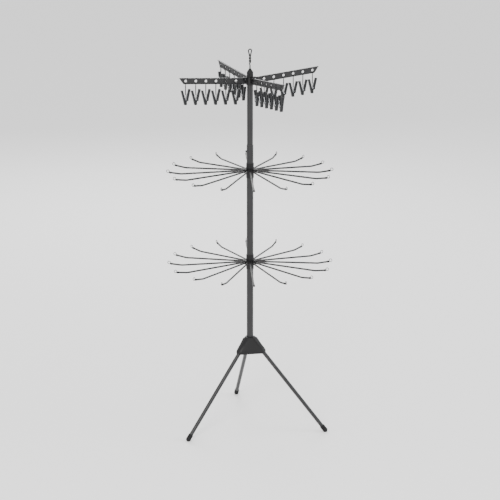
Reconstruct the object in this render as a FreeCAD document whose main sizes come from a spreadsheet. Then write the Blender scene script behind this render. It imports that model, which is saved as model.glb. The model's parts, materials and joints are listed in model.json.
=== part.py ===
import FreeCAD, Part

import math
import os
import re
import Sketcher

# A three-tier clothes drying rack on a folding tripod.  Millimetres, +Z up,
# origin on the floor in the middle of the pole.  The four top arms lie along
# the X and Y axes, and every tier's rods stand at equal steps from +X.

doc = FreeCAD.newDocument("drying_rack")

# ---------------------------------------------------------------- sizes
driving = {
    # pole, in three lengths that plug into each other
    "poleDiameter": 28.0,
    "poleWall": 1.5,
    "poleSpigot": 60.0,
    "upperPoleOverlap": 75.0,
    "seamAboveTier": 107.0,
    # tripod
    "legCount": 3,
    "firstLegAngle": 75.0,
    "legDiameter": 16.0,
    "legWall": 1.2,
    "legStandoff": 6.0,
    "legPivotHeight": 352.0,
    "legPinDiameter": 5.0,
    "knuckleLength": 10.0,
    "knucklePlug": 30.0,
    "footReach": 334.0,
    "footWall": 2.25,
    "footSleeve": 22.0,
    "footFlat": 1.75,
    "skirtBelowPivot": 34.0,
    "skirtEdge": 11.0,
    "skirtAbovePivot": 32.0,
    "skirtBottomSpread": 50.0,
    "skirtTopSpread": 8.0,
    "lobeBottomRadius": 19.0,
    "lobeTopRadius": 16.0,
    "hubWall": 3.0,
    "cheek": 5.0,
    "socketWall": 3.5,
    "socketBelowPivot": 10.0,
    "socketFloor": 6.0,
    "slotReach": 100.0,
    "wedgeReach": 114.0,
    # rod tiers
    "lowerTierHeight": 710.5,
    "upperTierHeight": 1098.0,
    "rodCount": 16,
    "rodReach": 335.0,
    "rodDiameter": 7.0,
    "rodWall": 0.6,
    "rodDroop": 2.5,
    "rodBend": 11.0,
    "bendRadius": 80.0,
    "bendFromTip": 60.0,
    "hingeStandoff": 8.0,
    "hingeWire": 3.0,
    "eyeWall": 2.5,
    "eyeThickness": 3.4,
    "neckClear": 2.4,
    "collarLength": 4.0,
    "collarLip": 0.6,
    "rodPlug": 20.0,
    "tipCapLength": 12.0,
    "tipCapWall": 0.7,
    "eyeletRadius": 5.7,
    "eyeletWire": 2.2,
    "eyeletRise": 4.0,
    "discMargin": 7.0,
    "discAboveEye": 1.0,
    "slotFloor": 2.4,
    "sleeveWall": 2.0,
    "sleeveBelow": 30.0,
    "sleeveAbove": 31.0,
    "coverMargin": 5.0,
    "coverDisc": 2.0,
    # top hub and arms
    "armCount": 4,
    "armStandoff": 6.5,
    "armPivotHeight": 1476.0,
    "armSlope": 4.5,
    "armReach": 310.0,
    "armAbovePivot": 5.5,
    "armHeight": 25.0,
    "armThickness": 2.4,
    "armTipCut": 20.0,
    "armPinDiameter": 4.0,
    "topFlangeWidth": 8.0,
    "topFlange": 2.0,
    "bottomFlangeWidth": 5.0,
    "bottomFlange": 1.5,
    "flangeClear": 1.5,
    "clipCount": 6,
    "firstClipRadius": 62.0,
    "clipPitch": 43.8,
    "clipHoleDiameter": 12.0,
    "topCoreWall": 3.0,
    "topCoreAbove": 8.0,
    "topCoreBelow": 24.0,
    "lugRadius": 8.0,
    "lugDrop": 14.0,
    "lugThickness": 4.0,
    "lugBite": 1.0,
    # hanging clips
    "ringRoom": 2.25,
    "ringWire": 1.8,
    "shankDiameter": 4.0,
    "tailLength": 17.0,
    "tailWire": 1.6,
    "clipPivotDrop": 64.0,
    "clipDrop": 86.5,
    "leftHandleDrop": 28.0,
    "rightHandleDrop": 24.5,
    "leftHandleReach": 16.5,
    "rightHandleReach": 16.5,
    "leverDepth": 10.0,
    "leverThickness": 7.6,
    "leftHeel": 9.8,
    "rightHeel": 11.4,
    "heelDrop": 5.5,
    "leftWaist": 8.9,
    "rightWaist": 3.8,
    "waistDrop": 8.5,
    "leftJaw": 5.8,
    "rightJaw": 3.2,
    "jawGap": 0.3,
    "springRadius": 3.2,
    "springBore": 1.8,
    "springLength": 12.0,
    # top cap, hook and pole button
    "capLip": 0.6,
    "capStraight": 19.0,
    "capShoulder": 14.0,
    "capNeckWall": 1.6,
    "capNeck": 1.5,
    "capPlug": 20.0,
    "capCavity": 18.0,
    "hookShaftDiameter": 5.6,
    "headLip": 2.2,
    "hookHead": 4.0,
    "twistDiameter": 11.0,
    "twistLength": 27.0,
    "hookWire": 5.2,
    "hookBump": 5.8,
    "hookRise": 82.0,
    "loopHeight": 36.0,
    "loopWidth": 19.0,
    "buttonBelowSeam": 27.0,
    "buttonAngle": 157.5,
    "buttonDiameter": 8.0,
    "buttonStand": 5.5,
    "buttonFlange": 1.5,
    "buttonFlangeDiameter": 12.0,
    # clearances
    "runningGap": 0.05,
    "ringGap": 0.1,
    "movingGap": 0.3,
    "legGap": 0.5,
}

sheet = doc.addObject("Spreadsheet::Sheet", "Sizes")
for row, (alias, value) in enumerate(driving.items(), 1):
    sheet.set("A%d" % row, alias)
    sheet.set("B%d" % row, str(value))
    sheet.setAlias("B%d" % row, alias)
doc.recompute()


def sizes(text):
    """Turn the aliases in an expression into references to the sheet."""
    def cell(word):
        return "Sizes." + word.group() if word.group() in driving else word.group()
    return re.sub(r"[A-Za-z]\w*", cell, text)


# sizes that follow from the driving ones
POLE_RADIUS = "(poleDiameter / 2)"
POLE_BORE = "(poleDiameter / 2 - poleWall)"
UPPER_RADIUS = POLE_BORE
UPPER_BORE = "(%s - poleWall)" % UPPER_RADIUS
LEG_SLOT = "(legDiameter + 2 * legGap)"
LEG_PIVOT = "(%s + socketWall + legStandoff + %s / 2)" % (POLE_RADIUS, LEG_SLOT)
FOOT_RADIUS = "(legDiameter / 2 + footWall)"
FOOT_HEIGHT = "(%s - footFlat)" % FOOT_RADIUS
LEG_OUT = "(footReach - %s)" % LEG_PIVOT
LEG_DOWN = "(legPivotHeight - %s)" % FOOT_HEIGHT
LEG_SPREAD = "atan(%s / %s)" % (LEG_OUT, LEG_DOWN)
LEG_LENGTH = "sqrt(%s^2 + %s^2)" % (LEG_OUT, LEG_DOWN)
SKIRT_BOTTOM = "(legPivotHeight - skirtBelowPivot)"
SKIRT_TOP = "(legPivotHeight + skirtAbovePivot)"
SOCKET_FLOOR = "(legPivotHeight - socketBelowPivot)"
SEAM_HEIGHT = "(upperTierHeight + seamAboveTier)"
BUTTON_HEIGHT = "(%s - buttonBelowSeam)" % SEAM_HEIGHT
HINGE_RADIUS = "(%s + hingeStandoff)" % POLE_RADIUS
EYE_RADIUS = "(hingeWire / 2 + eyeWall)"
EYE_SLOT = "(eyeThickness + 2 * movingGap)"
DISC_RADIUS = "(%s + discMargin)" % HINGE_RADIUS
DISC_ABOVE = "(%s + discAboveEye)" % EYE_RADIUS
SLOT_BOTTOM = "(%s + movingGap + discMargin * sin(rodDroop))" % EYE_RADIUS
SLEEVE_RADIUS = "(%s + sleeveWall)" % POLE_RADIUS
NECK_LENGTH = "(discMargin + neckClear)"
ROD_RADIUS = "(rodDiameter / 2)"
BEND_START = "(rodReach - %s - bendFromTip)" % HINGE_RADIUS
TIP_LENGTH = "((bendFromTip - bendRadius * sin(rodBend)) / cos(rodBend))"
CORE_RADIUS = "(%s + topCoreWall)" % UPPER_RADIUS
CORE_TOP = "(armPivotHeight + topCoreAbove)"
ARM_PIVOT = "(%s + armStandoff)" % CORE_RADIUS
ARM_ROOT = "(armStandoff - movingGap)"
ARM_SLOT = "(armThickness + 2 * movingGap)"
ARM_LENGTH = "((armReach - %s) / cos(armSlope))" % ARM_PIVOT
ARM_BOTTOM = "(armAbovePivot - armHeight)"
FLANGE_START = "(lugRadius + flangeClear)"
HOLE_CENTRE = "(armAbovePivot - armHeight / 2)"
UNDER_HOLE = "((armHeight - clipHoleDiameter) / 2)"
RING_CENTRE = "(%s + %s / 2)" % (ARM_BOTTOM, UNDER_HOLE)
RING_RADIUS = "(%s / 2 + ringRoom)" % UNDER_HOLE
CAP_RADIUS = "(%s + capLip)" % UPPER_RADIUS
SHOULDER_TOP = "(%s + capStraight + capShoulder)" % CORE_TOP
SHAFT_RADIUS = "(hookShaftDiameter / 2)"
HEAD_RADIUS = "(%s + headLip)" % SHAFT_RADIUS

TURN_X = ("1; 0; 0", "-90")
TURN_Y = ("0; 1; 0", "90")
NO_TURN = ("0; 0; 1", "0")


# ---------------------------------------------------------------- helpers
def bind(thing, **expressions):
    for name, text in expressions.items():
        thing.setExpression(name, sizes(text))
    return thing


def place(x="0", y="0", z="0", turn=NO_TURN):
    axis, angle = turn
    return "placement(vector(%s; %s; %s); rotation(vector(%s); %s))" % (x, y, z, axis, angle)


def about(angle):
    return place(turn=("0; 0; 1", angle))


def primitive(kind, name, where, **expressions):
    thing = doc.addObject("Part::" + kind, name)
    bind(thing, **expressions)
    return bind(thing, Placement=where)


def cylinder(name, radius, height, where=place()):
    return primitive("Cylinder", name, where, Radius=radius, Height=height)


def box(name, length, width, height, where=place()):
    return primitive("Box", name, where, Length=length, Width=width, Height=height)


def torus(name, radius, wire, where=place()):
    return primitive("Torus", name, where, Radius1=radius, Radius2=wire)


def fuse(name, *pieces):
    thing = doc.addObject("Part::MultiFuse", name)
    thing.Shapes = list(pieces)
    return thing


def cut(name, base, *tools):
    thing = doc.addObject("Part::Cut", name)
    thing.Base = base
    thing.Tool = tools[0] if len(tools) == 1 else fuse(name + "_tools", *tools)
    return thing


def common(name, base, tool):
    thing = doc.addObject("Part::Common", name)
    thing.Base = base
    thing.Tool = tool
    return thing


def group(name, pieces, where=place()):
    thing = doc.addObject("Part::Compound", name)
    thing.Links = list(pieces)
    return bind(thing, Placement=where)


def tube(name, outer, inner, length, where=place()):
    wall = cylinder(name + "_outside", outer, length)
    bore = cylinder(name + "_inside", inner, length)
    return bind(cut(name, wall, bore), Placement=where)


def outline(body, name, role, points):
    """A closed polygon sketch whose corners are all set from the sheet."""
    sketch = body.newObject("Sketcher::SketchObject", name)
    plane = next(f for f in body.Origin.OriginFeatures if f.Role == role)
    sketch.AttachmentSupport = [(plane, "")]
    sketch.MapMode = "FlatFace"
    count = len(points)
    guesses = []
    for i in range(count):
        angle = 2 * math.pi * (i + 0.3) / count
        guesses.append(FreeCAD.Vector(10 * math.cos(angle), 10 * math.sin(angle), 0))
    for i in range(count):
        sketch.addGeometry(Part.LineSegment(guesses[i], guesses[(i + 1) % count]))
    for i in range(count):
        sketch.addConstraint(Sketcher.Constraint("Coincident", i, 2, (i + 1) % count, 1))
    for i, corner in enumerate(points):
        for letter, text, guess in zip("XY", corner, guesses[i]):
            made = sketch.addConstraint(Sketcher.Constraint("Distance" + letter, -1, 1, i, 1, guess))
            label = "%s%d" % (letter.lower(), i)
            sketch.renameConstraint(made, label)
            sketch.setExpression("Constraints." + label, sizes(text))
    return sketch


def turned(name, points):
    """A body turned about Z from an outline of (radius, height) corners."""
    body = doc.addObject("PartDesign::Body", name)
    turn = body.newObject("PartDesign::Revolution", name + "_turn")
    profile = outline(body, name + "_profile", "XZ_Plane", points)
    turn.Profile = profile
    turn.ReferenceAxis = (profile, ["V_Axis"])
    turn.Angle = 360
    body.Tip = turn
    return body


def plate(name, points, thickness):
    """A body of even thickness about the XZ plane, from (x, z) corners."""
    body = doc.addObject("PartDesign::Body", name)
    pad = body.newObject("PartDesign::Pad", name + "_pad")
    pad.Profile = outline(body, name + "_outline", "XZ_Plane", points)
    pad.Midplane = True
    bind(pad, Length=thickness)
    body.Tip = pad
    return body


subParts = []


def node(thing, label, where=None):
    """Mark a finished sub-part: its label names its file."""
    thing.Label = label
    if where:
        bind(thing, Placement=where)
    subParts.append(thing)
    return thing


def copies(name, pieces, where):
    """One more copy of the given pieces, as a sub-part of its own."""
    return node(group(name + "_copy", pieces), name, where)


# ---------------------------------------------------------------- tripod hub
def skirt(name, wall, low, high):
    """Rounded three-lobed skirt: upright at the edge, then tapering to the top."""
    sections = []
    levels = (
        (low, "skirtBottomSpread", "lobeBottomRadius"),
        (SKIRT_BOTTOM + " + skirtEdge", "skirtBottomSpread", "lobeBottomRadius"),
        (high, "skirtTopSpread", "lobeTopRadius"),
    )
    for i, (height, spread, lobe) in enumerate(levels):
        corners = primitive("RegularPolygon", "%s_corners_%d" % (name, i),
                            place(z=height, turn=("0; 0; 1", "firstLegAngle")),
                            Circumradius=spread)
        corners.Polygon = driving["legCount"]
        ring = doc.addObject("Part::Offset2D", "%s_ring_%d" % (name, i))
        ring.Source = corners
        bind(ring, Value="%s - %s" % (lobe, wall))
        sections.append(ring)
    loft = doc.addObject("Part::Loft", name)
    loft.Sections = sections
    loft.Solid = True
    loft.Ruled = True
    return loft


legAngles = ["firstLegAngle + %d * 360 / legCount" % i for i in range(driving["legCount"])]
hubOutside = skirt("skirt_outside", "0", SKIRT_BOTTOM, SKIRT_TOP)
hubInside = skirt("skirt_inside", "hubWall", SKIRT_BOTTOM, SKIRT_TOP + " - hubWall")
hubShell = cut("hub_shell", hubOutside, hubInside)
boss = cylinder("hub_boss", POLE_RADIUS + " + socketWall",
                "%s - %s + socketFloor" % (SKIRT_TOP, SOCKET_FLOOR),
                place(z=SOCKET_FLOOR + " - socketFloor"))
cheeks = []
legSlots = []
legPins = []
slotInner = "(legDiameter / 2 + legGap)"
for i, angle in enumerate(legAngles):
    cheekWidth = "(%s + 2 * cheek)" % LEG_SLOT
    cheeks.append(box("cheek_%d" % i, "skirtBottomSpread + lobeBottomRadius", cheekWidth,
                      "%s - %s" % (SKIRT_TOP, SKIRT_BOTTOM),
                      about(angle) + " * " + place(y="-%s / 2" % cheekWidth, z=SKIRT_BOTTOM)))
    atPivot = about(angle) + " * " + place(LEG_PIVOT, "0", "legPivotHeight")
    acrossPivot = atPivot + " * " + place(y="-%s / 2" % LEG_SLOT, turn=TURN_X)
    hanging = about(angle) + " * " + place("%s - %s" % (LEG_PIVOT, slotInner), "-%s / 2" % LEG_SLOT,
                                           SKIRT_BOTTOM + " - legGap")
    spread = atPivot + " * " + place(turn=("0; 1; 0", "-" + LEG_SPREAD))
    legSlots.append(bind(cylinder("slot_round_%d" % i, slotInner, LEG_SLOT), Placement=acrossPivot))
    legSlots.append(box("slot_hanging_%d" % i, "2 * " + slotInner, LEG_SLOT,
                        "skirtBelowPivot + legGap", hanging))
    legSlots.append(box("slot_spread_%d" % i, "2 * " + slotInner, LEG_SLOT, "slotReach",
                        spread + " * " + place("-" + slotInner, "-%s / 2" % LEG_SLOT, "-slotReach")))
    pinLength = "(%s + 2 * cheek)" % LEG_SLOT
    legPins.append(cylinder("leg_pin_%d" % i, "legPinDiameter / 2", pinLength,
                            atPivot + " * " + place(y="-%s / 2" % pinLength, turn=TURN_X)))
    # between a hanging leg and a spread one the slot is open all the way
    wedge = plate("slot_wedge_%d" % i, [
        ("0", "0"),
        ("wedgeReach * sin(%s)" % LEG_SPREAD, "-wedgeReach * cos(%s)" % LEG_SPREAD),
        ("0", "-wedgeReach * cos(%s)" % LEG_SPREAD),
    ], LEG_SLOT)
    legSlots.append(bind(wedge, Placement=atPivot))
socket = cylinder("pole_socket", POLE_RADIUS, "%s - %s" % (SKIRT_TOP, SOCKET_FLOOR), place(z=SOCKET_FLOOR))
hubSolid = fuse("hub_solid", hubShell, common("hub_walls", hubOutside, fuse("hub_inner", boss, *cheeks)))
node(cut("hub_cut", hubSolid, socket, *legSlots, *legPins), "tripod_hub")
node(fuse("leg_pin_set", *legPins), "leg_pivot_pins")

# ---------------------------------------------------------------- legs and feet
# built hanging from the pivot along -Z, then spread and turned into place
legBore = "(legDiameter / 2 - legWall)"
knuckle = cut(
    "leg_knuckle",
    fuse("leg_knuckle_solid",
         primitive("Sphere", "leg_knuckle_round", place(), Radius="legDiameter / 2"),
         cylinder("leg_knuckle_collar", "legDiameter / 2", "knuckleLength", place(z="-knuckleLength")),
         cylinder("leg_knuckle_plug", legBore, "knucklePlug", place(z="-knuckleLength - knucklePlug"))),
    cylinder("leg_knuckle_hole", "legPinDiameter / 2 + runningGap", "legDiameter",
             place(y="-legDiameter / 2", turn=TURN_X)))
legTube = tube("leg_tube", "legDiameter / 2", legBore, LEG_LENGTH + " - knuckleLength",
               place(z="-" + LEG_LENGTH))
footEnd = place(z="-" + LEG_LENGTH)
upright = place(z="-" + LEG_LENGTH, turn=("0; 1; 0", LEG_SPREAD))
footCap = cut(
    "foot_cap",
    fuse("foot_solid",
         primitive("Sphere", "foot_round", footEnd, Radius=FOOT_RADIUS),
         cylinder("foot_sleeve", FOOT_RADIUS, "footSleeve", footEnd)),
    cylinder("foot_bore", "legDiameter / 2", "footSleeve", footEnd),
    box("foot_floor", "4 * " + FOOT_RADIUS, "4 * " + FOOT_RADIUS, FOOT_RADIUS,
        upright + " * " + place("-2 * " + FOOT_RADIUS, "-2 * " + FOOT_RADIUS,
                                "-%s - %s" % (FOOT_HEIGHT, FOOT_RADIUS))))
for i, angle in enumerate(legAngles, 1):
    spreadLeg = (about(angle) + " * " + place(LEG_PIVOT, "0", "legPivotHeight")
                 + " * " + place(turn=("0; 1; 0", "-" + LEG_SPREAD)))
    copies("leg_%d" % i, [knuckle, legTube], spreadLeg)
    copies("foot_%d" % i, [footCap], spreadLeg)

# ---------------------------------------------------------------- pole
buttonAxis = about("buttonAngle") + " * " + place(z=BUTTON_HEIGHT, turn=TURN_Y)
buttonHole = cylinder("button_hole", "buttonDiameter / 2 + runningGap", "poleDiameter", buttonAxis)
lowerPole = tube("lower_tube", POLE_RADIUS, POLE_BORE, "lowerTierHeight - " + SOCKET_FLOOR,
                 place(z=SOCKET_FLOOR))
node(lowerPole, "pole_lower")
middleTube = tube("middle_tube", POLE_RADIUS, POLE_BORE, SEAM_HEIGHT + " - lowerTierHeight",
                  place(z="lowerTierHeight"))
middleSpigot = tube("middle_spigot", POLE_BORE, POLE_BORE + " - poleWall", "2 * poleSpigot",
                    place(z="lowerTierHeight - poleSpigot"))
node(cut("middle_pole", fuse("middle_solid", middleTube, middleSpigot), buttonHole), "pole_middle")
upperStart = "(%s - upperPoleOverlap)" % SEAM_HEIGHT
upperTube = tube("upper_tube", UPPER_RADIUS, UPPER_BORE, CORE_TOP + " - " + upperStart, place(z=upperStart))
node(cut("upper_pole", upperTube, buttonHole), "pole_upper")
flangeStart = "(%s - movingGap - buttonFlange)" % UPPER_BORE
node(fuse("snap_button",
          cylinder("button_shank", "buttonDiameter / 2",
                   "poleDiameter / 2 + buttonStand - buttonDiameter / 4 - " + flangeStart,
                   buttonAxis + " * " + place(z=flangeStart)),
          primitive("Ellipsoid", "button_dome",
                    buttonAxis + " * " + place(z="poleDiameter / 2 + buttonStand - buttonDiameter / 4"),
                    Radius1="buttonDiameter / 4", Radius2="buttonDiameter / 2", Radius3="buttonDiameter / 2"),
          common("button_foot",
                 cylinder("button_flange", "buttonFlangeDiameter / 2", "buttonFlange",
                          buttonAxis + " * " + place(z=flangeStart)),
                 cylinder("button_flange_room", UPPER_BORE + " - movingGap", "3 * buttonFlangeDiameter",
                          place(z=BUTTON_HEIGHT + " - 3 * buttonFlangeDiameter / 2")))),
     "pole_button")


# ---------------------------------------------------------------- rod tiers
def slotted(body, name, low, high):
    """Cut one slot for each rod's eye through a body, from low to high."""
    slot = body.newObject("PartDesign::SubtractiveBox", name + "_slot")
    inner = "(%s - %s - movingGap)" % (HINGE_RADIUS, EYE_RADIUS)
    bind(slot, Length=DISC_RADIUS, Width=EYE_SLOT, Height="%s - %s" % (high, low),
         Placement=place(inner, "-%s / 2" % EYE_SLOT, low))
    doc.recompute()
    pattern = body.newObject("PartDesign::PolarPattern", name + "_slots")
    pattern.Originals = [slot]
    pattern.Axis = (next(f for f in body.Origin.OriginFeatures if f.Role == "Z_Axis"), [""])
    pattern.Angle = 360
    pattern.Occurrences = driving["rodCount"]
    body.Tip = pattern


wireRadius = "(hingeWire / 2)"
ringInside = "(%s - %s)" % (HINGE_RADIUS, wireRadius)
ringOutside = "(%s + %s)" % (HINGE_RADIUS, wireRadius)
discBottom = "-(%s + slotFloor)" % SLOT_BOTTOM
coverTop = DISC_ABOVE + " + coverDisc"
hubProfile = [
    (POLE_RADIUS, "-sleeveBelow"), (SLEEVE_RADIUS, "-sleeveBelow"), (SLEEVE_RADIUS, discBottom),
    (DISC_RADIUS, discBottom), (DISC_RADIUS, DISC_ABOVE), (ringOutside, DISC_ABOVE), (ringOutside, "0"),
    (ringInside, "0"), (ringInside, DISC_ABOVE), (POLE_RADIUS, DISC_ABOVE),
]
coverProfile = [
    (POLE_RADIUS, DISC_ABOVE), (ringInside, DISC_ABOVE), (ringInside, wireRadius),
    (ringOutside, wireRadius), (ringOutside, DISC_ABOVE), (HINGE_RADIUS + " + coverMargin", DISC_ABOVE),
    (HINGE_RADIUS + " + coverMargin", coverTop), (SLEEVE_RADIUS, coverTop), (SLEEVE_RADIUS, "sleeveAbove"),
    (POLE_RADIUS, "sleeveAbove"),
]
tierDisc = turned("tier_disc", hubProfile)
seat = tierDisc.newObject("PartDesign::SubtractiveTorus", "ring_seat")
bind(seat, Radius1=HINGE_RADIUS, Radius2=wireRadius)
doc.recompute()
slotted(tierDisc, "disc", "-" + SLOT_BOTTOM, coverTop)
tierCover = turned("tier_cover", coverProfile)
slotted(tierCover, "cover", "0", coverTop + " + coverDisc")
hingeRing = torus("hinge_ring", HINGE_RADIUS, wireRadius)

tiers = {"lower": "lowerTierHeight", "upper": "upperTierHeight"}
for tier, height in tiers.items():
    copies(tier + "_tier_hub", [tierDisc], place(z=height))
node(group("cover_pair", [group(t + "_cover", [tierCover], place(z=height)) for t, height in tiers.items()]),
     "tier_covers")
node(group("ring_pair", [group(t + "_ring", [hingeRing], place(z=height)) for t, height in tiers.items()]),
     "hinge_rings")

# one rod, lying along +X from its hinge and turned up a little near its tip
rodBore = "(%s - rodWall)" % ROD_RADIUS
tubeStart = "(%s + collarLength)" % NECK_LENGTH
bendCentre = place(BEND_START, "0", "bendRadius", ("0; 1; 0", "90"))
bendEnd = place(BEND_START, "0", "bendRadius", ("0; 1; 0", "-rodBend")) + " * " + place(z="-bendRadius")
capStart = "(%s - eyeletRadius / 2 - tipCapLength)" % TIP_LENGTH
rootFitting = cut(
    "rod_root",
    fuse("rod_root_solid",
         cylinder("rod_eye", EYE_RADIUS, "eyeThickness", place(y="-eyeThickness / 2", turn=TURN_X)),
         box("rod_neck", NECK_LENGTH, "eyeThickness", "2 * " + EYE_RADIUS,
             place("0", "-eyeThickness / 2", "-" + EYE_RADIUS)),
         cylinder("rod_collar", ROD_RADIUS + " + collarLip", "collarLength", place(NECK_LENGTH, turn=TURN_Y)),
         cylinder("rod_root_plug", rodBore, "rodPlug", place(tubeStart, turn=TURN_Y))),
    cylinder("rod_eye_hole", wireRadius + " + ringGap", "eyeThickness",
             place(y="-eyeThickness / 2", turn=TURN_X)))


def bentRod(name, radius):
    """A solid bar of the rod's route: straight, a gentle bend, then straight to the tip cap."""
    bend = torus(name + "_bend", "bendRadius", radius, bendCentre + " * " + place(turn=("1; 0; 0", "90")))
    bind(bend, Angle3="rodBend")
    return fuse(name,
                cylinder(name + "_straight", radius, BEND_START + " - " + tubeStart,
                         place(tubeStart, turn=TURN_Y)),
                bend,
                cylinder(name + "_end", radius, capStart + " + tipCapLength / 2",
                         bendEnd + " * " + place(turn=TURN_Y)))


rodTube = cut("rod_tube", bentRod("rod_outside", ROD_RADIUS), bentRod("rod_inside", rodBore))
tipCap = cut(
    "rod_tip",
    fuse("rod_tip_solid",
         cylinder("rod_tip_cap", ROD_RADIUS + " + tipCapWall", "tipCapLength",
                  bendEnd + " * " + place(capStart, turn=TURN_Y)),
         torus("rod_eyelet", "eyeletRadius", "eyeletWire / 2",
               bendEnd + " * " + place(TIP_LENGTH, "0", "eyeletRise", TURN_X))),
    cylinder("rod_tip_bore", ROD_RADIUS, "tipCapLength / 2", bendEnd + " * " + place(capStart, turn=TURN_Y)))
for tier, height in tiers.items():
    for i in range(driving["rodCount"]):
        copies("%s_rod_%02d" % (tier, i + 1), [rootFitting, rodTube, tipCap],
               about("%d * 360 / rodCount" % i) + " * "
               + place(HINGE_RADIUS, "0", height, ("0; 1; 0", "rodDroop")))

# ---------------------------------------------------------------- top hub and arms
armAngles = ["%d * 360 / armCount" % i for i in range(driving["armCount"])]
lugReach = "(armStandoff + topCoreWall - lugBite)"
lugs = []
armPins = []
for i, angle in enumerate(armAngles):
    atPin = about(angle) + " * " + place(ARM_PIVOT, "0", "armPivotHeight")
    for side, start in (("a", "%s / 2" % ARM_SLOT), ("b", "-%s / 2 - lugThickness" % ARM_SLOT)):
        lugs.append(cylinder("lug_round_%d%s" % (i, side), "lugRadius", "lugThickness",
                             atPin + " * " + place(y=start, turn=TURN_X)))
        lugs.append(box("lug_web_%d%s" % (i, side), lugReach, "lugThickness", "lugDrop + lugRadius",
                        atPin + " * " + place("-" + lugReach, start, "-lugDrop")))
    pinLength = "(%s + 2 * lugThickness)" % ARM_SLOT
    armPins.append(cylinder("arm_pin_%d" % i, "armPinDiameter / 2", pinLength,
                            atPin + " * " + place(y="-%s / 2" % pinLength, turn=TURN_X)))
core = cylinder("top_core", CORE_RADIUS, "topCoreAbove + topCoreBelow",
                place(z="armPivotHeight - topCoreBelow"))
coreBore = cylinder("top_bore", UPPER_RADIUS, "topCoreAbove + topCoreBelow",
                    place(z="armPivotHeight - topCoreBelow"))
node(cut("top_hub_cut", fuse("top_hub_solid", core, *lugs), coreBore, *armPins), "top_hub")
node(fuse("arm_pin_set", *armPins), "arm_pins")

armPlate = plate("arm_plate", [
    ("-" + ARM_ROOT, "0"), ("-" + ARM_ROOT, ARM_BOTTOM), (ARM_LENGTH + " - armTipCut", ARM_BOTTOM),
    (ARM_LENGTH, "armAbovePivot"), ("0", "armAbovePivot"), ("0", "0"),
], "armThickness")
bottomStop = "%s - armTipCut - %s" % (ARM_LENGTH, FLANGE_START)
armSolid = fuse(
    "arm_solid", armPlate,
    cylinder("arm_eye", ARM_ROOT, "armThickness", place(y="-armThickness / 2", turn=TURN_X)),
    box("arm_top_flange", "%s - %s" % (ARM_LENGTH, FLANGE_START), "topFlangeWidth", "topFlange",
        place(FLANGE_START, "-topFlangeWidth / 2", "armAbovePivot - topFlange")),
    box("arm_bottom_flange", bottomStop, "bottomFlangeWidth", "bottomFlange",
        place(FLANGE_START, "-bottomFlangeWidth / 2", ARM_BOTTOM)))
clipHoles = []
for i in range(driving["clipCount"]):
    along = "((firstClipRadius - %s + %d * clipPitch) / cos(armSlope))" % (ARM_PIVOT, i)
    clipHoles.append(cylinder("clip_hole_%d" % i, "clipHoleDiameter / 2", "topFlangeWidth",
                              place(along, "-topFlangeWidth / 2", HOLE_CENTRE, TURN_X)))
armPinHole = cylinder("arm_pin_hole", "armPinDiameter / 2 + runningGap", "armThickness",
                      place(y="-armThickness / 2", turn=TURN_X))
arm = cut("arm_cut", armSolid, armPinHole, *clipHoles)

# ---------------------------------------------------------------- clips
# one clip, hanging along -Z from the centre of its ring
shankBottom = "(clipPivotDrop - tailLength)"
hanger = fuse(
    "clip_hanger",
    torus("clip_ring", RING_RADIUS, "ringWire / 2", place(turn=TURN_Y)),
    cylinder("clip_shank", "shankDiameter / 2", "%s - %s" % (shankBottom, RING_RADIUS),
             place(z="-" + shankBottom)),
    cylinder("clip_tail", "tailWire / 2", "tailLength", place(z="-clipPivotDrop")),
    cylinder("clip_axle", "springBore", "springLength",
             place("0", "-springLength / 2", "-clipPivotDrop", TURN_X)))
springHalf = "(springLength / 2 - ringWire)"
springTubes = []
for side, start in (("left", "ringWire"), ("right", "-springLength / 2")):
    springTubes.append(tube("clip_spring_" + side, "springRadius", "springBore", springHalf,
                            place("0", start, "-clipPivotDrop", TURN_X)))


def lever(name, sign, side):
    """One lever: a handle that leans out above the spring, and a jaw below it."""
    body = plate(name + "_blank", [
        ("%s * (%sHandleReach + leverThickness / 2)" % (sign, side), "-%sHandleDrop" % side),
        ("%s * (%sHandleReach - leverThickness / 2)" % (sign, side),
         "-%sHandleDrop + leverThickness / 4" % side),
        (sign + " * springRadius", "-clipPivotDrop"),
        (sign + " * jawGap", "-clipPivotDrop - 2 * springRadius"),
        (sign + " * jawGap", "-clipDrop"),
        ("%s * (jawGap + %sJaw)" % (sign, side), "-clipDrop"),
        ("%s * %sWaist" % (sign, side), "-clipPivotDrop - waistDrop"),
        ("%s * %sHeel" % (sign, side), "-clipPivotDrop - heelDrop"),
        (sign + " * (springRadius + leverThickness)", "-clipPivotDrop"),
    ], "leverDepth")
    hole = cylinder(name + "_seat", "springRadius", "springLength",
                    place("0", "-springLength / 2", "-clipPivotDrop", TURN_X))
    shankRoom = cylinder(name + "_shank_room", "shankDiameter / 2 + movingGap", shankBottom + " + movingGap",
                         place(z="-%s - movingGap" % shankBottom))
    tailRoom = cylinder(name + "_tail_room", "tailWire / 2 + movingGap", "clipPivotDrop",
                        place(z="-clipPivotDrop"))
    return cut(name, body, hole, shankRoom, tailRoom)


clip = [hanger, *springTubes, lever("lever_left", "-1", "left"), lever("lever_right", "1", "right")]
for i, angle in enumerate(armAngles, 1):
    atPin = about(angle) + " * " + place(ARM_PIVOT, "0", "armPivotHeight")
    copies("arm_%d" % i, [arm], atPin + " * " + place(turn=("0; 1; 0", "-armSlope")))
    # half of the rows hang turned round, so the long levers face one way across the rack
    facing = about("0" if i <= driving["armCount"] / 2 else "180")
    row = []
    for j in range(driving["clipCount"]):
        along = "((firstClipRadius - %s + %d * clipPitch) / cos(armSlope))" % (ARM_PIVOT, j)
        hang = place("%s * cos(armSlope) - %s * sin(armSlope)" % (along, RING_CENTRE), "0",
                     "%s * sin(armSlope) + %s * cos(armSlope)" % (along, RING_CENTRE))
        row.append(group("clip_%d_%d" % (i, j + 1), clip, atPin + " * " + hang + " * " + facing))
    node(group("clip_row_%d" % i, row), "clips_%d" % i)

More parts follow.
